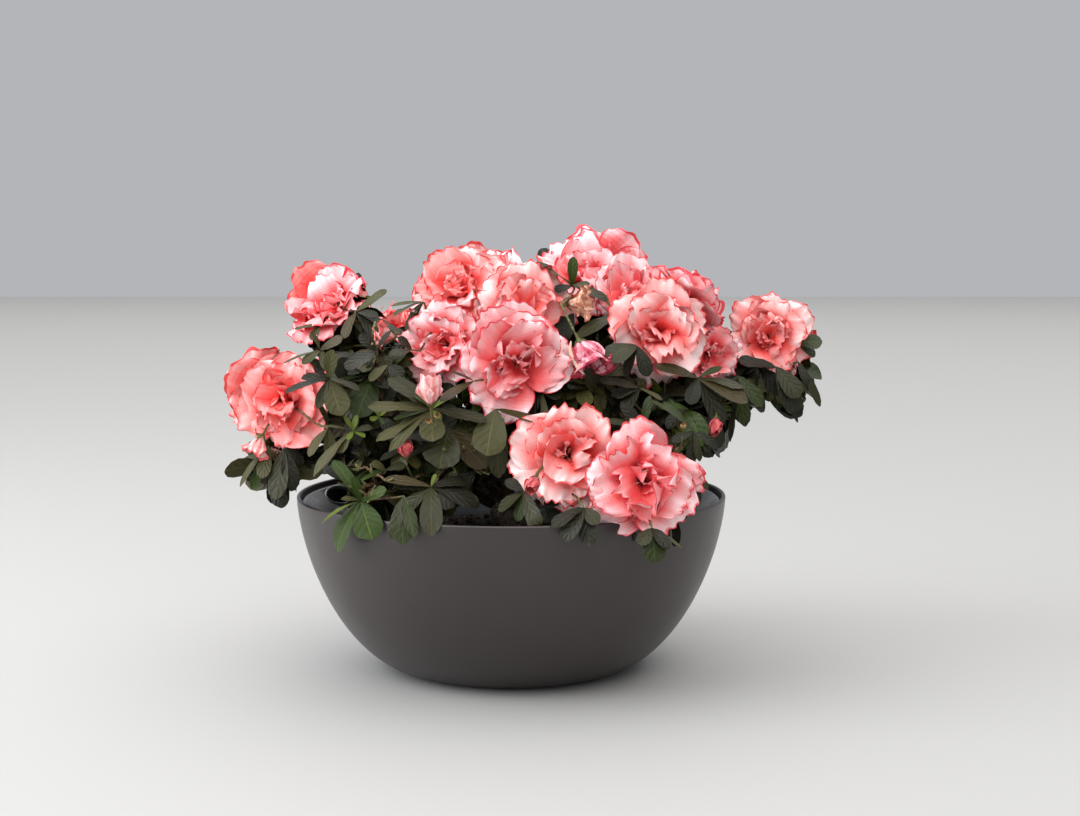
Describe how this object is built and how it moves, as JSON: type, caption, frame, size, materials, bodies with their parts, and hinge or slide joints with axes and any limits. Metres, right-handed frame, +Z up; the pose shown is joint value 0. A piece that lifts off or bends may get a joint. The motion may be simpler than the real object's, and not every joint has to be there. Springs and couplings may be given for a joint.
{
  "type": "azalea shrub in a bowl planter",
  "caption": "Bushy pot azalea with ruffled double blossoms on a short forked stem, grown in a round dark bowl planter whose liner has an oval filler opening.",
  "frame": {"origin": "centre of the bowl's flat underside, on the surface that it stands on", "axes": "+Z up, +X to the right and -Y towards someone who looks at the plant's best side"},
  "size_m": [0.3751, 0.2992, 0.2845],
  "materials": {
    "bowl": "matte dark warm grey, lightly grained",
    "liner": "satin mid grey",
    "soil": "dark crumbly compost",
    "bark": "rough grey-brown bark",
    "foliage": "satin dark green leaves",
    "blossom": "soft coral and pale pink petals"
  },
  "bodies": {
    "root": {"planter_bowl": "bowl", "planter_liner": "liner", "planting_soil": "soil", "stem": "bark", "bough_left_middle": "bark", "bough_front_left": "bark", "bough_front_right": "bark", "bough_right_middle": "bark", "bough_back_left": "bark", "bough_back_right": "bark", "bough_top_left": "bark", "bough_back": "bark", "bough_top": "bark", "bough_front_middle": "bark", "bough_upper_left": "bark", "bough_left_high": "bark", "bough_inner_right": "bark", "bough_right_far": "bark", "bough_left_low": "bark", "bough_left_rim": "bark", "bough_right_rim": "bark", "bough_back_rim_left": "bark", "bough_back_rim_right": "bark", "mass_left_low": "blossom", "mass_left_hanging": "foliage", "mass_left_high": "blossom", "mass_left_middle": "foliage", "mass_left_rim": "foliage", "mass_front_left": "foliage", "mass_top_left": "blossom", "mass_upper_left": "blossom", "mass_front_middle": "blossom", "mass_top": "blossom", "mass_right_high": "blossom", "mass_right_far": "blossom", "mass_right_middle": "foliage", "mass_inner_right": "foliage", "mass_front_right": "blossom", "mass_right_rim": "blossom", "mass_back_left": "blossom", "mass_back": "blossom", "mass_back_right": "blossom", "mass_back_rim_left": "foliage", "mass_back_rim_right": "foliage"}
  },
  "joints": []
}
